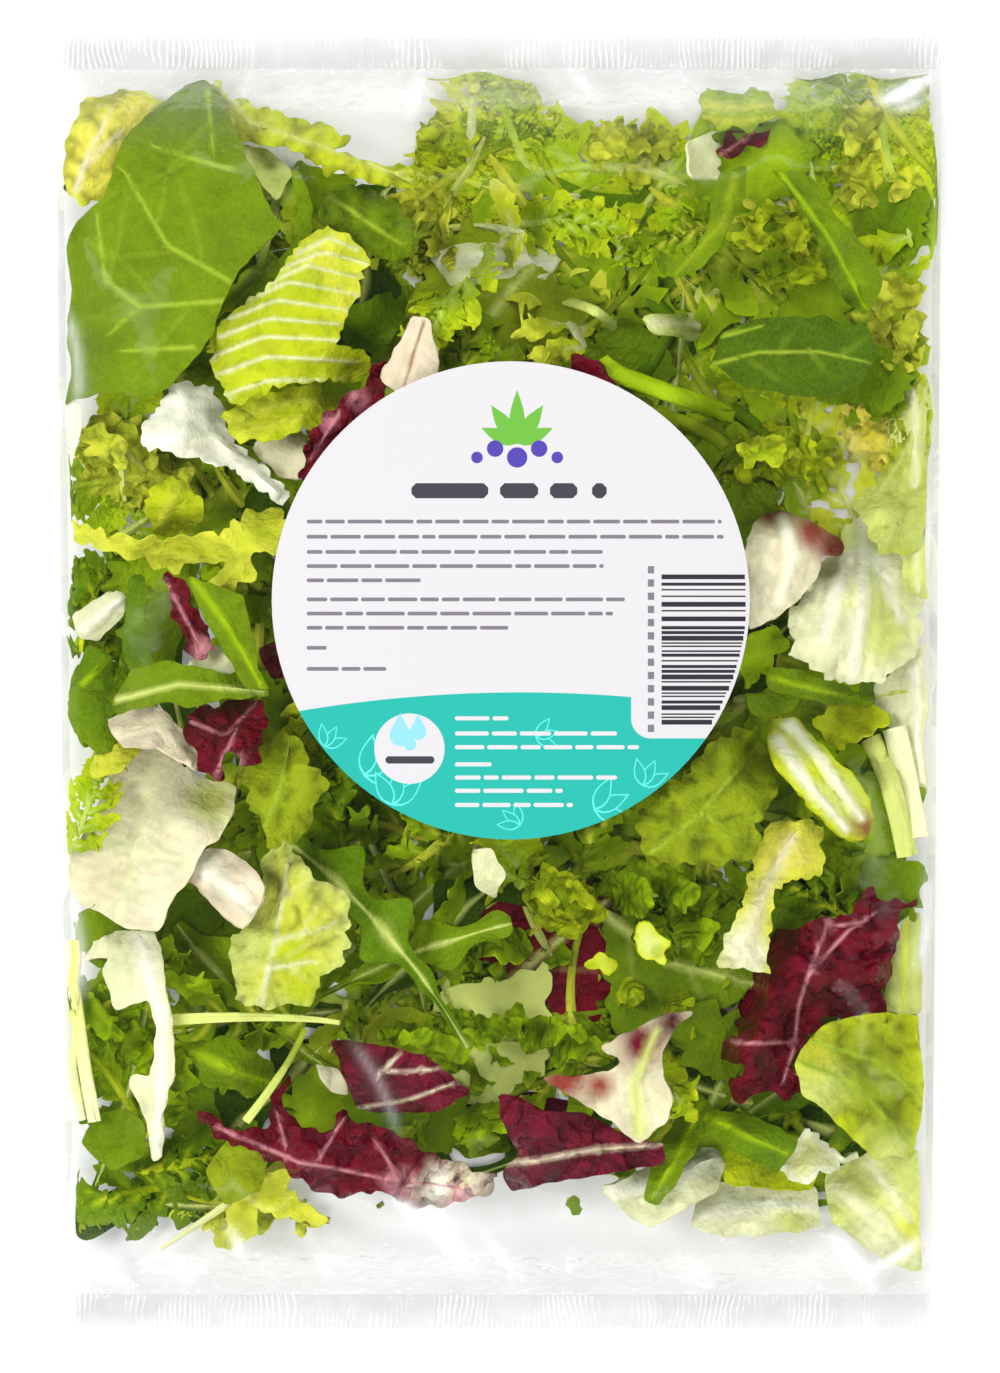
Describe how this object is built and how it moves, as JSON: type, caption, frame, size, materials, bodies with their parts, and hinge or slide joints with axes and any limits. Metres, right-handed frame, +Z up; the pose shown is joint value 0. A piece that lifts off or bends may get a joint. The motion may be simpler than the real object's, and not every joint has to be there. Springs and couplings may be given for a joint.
{
  "type": "bag of salad leaves",
  "caption": "Sealed clear film pillow bag of mixed salad leaves, lying flat, with a round printed label near its middle.",
  "frame": {"origin": "middle of the bag's footprint, on the surface it lies on", "axes": "+X runs across the bag to the reader's right, +Y towards the seal at the head of the label, +Z up through the shown side"},
  "size_m": [0.1826, 0.267, 0.0279],
  "materials": {
    "film_over_leaves": "glossy clear film over green leaves",
    "label_white": "smooth printed paper",
    "leaf_green": "fresh green salad leaf, slightly glossy",
    "leaf_red": "wine-red chicory leaf, slightly glossy",
    "leaf_pale": "pale leaf rib, slightly glossy",
    "clear_film": "thin clear glossy film"
  },
  "bodies": {
    "root": {"bag": "film_over_leaves", "label": "label_white"}
  },
  "joints": []
}
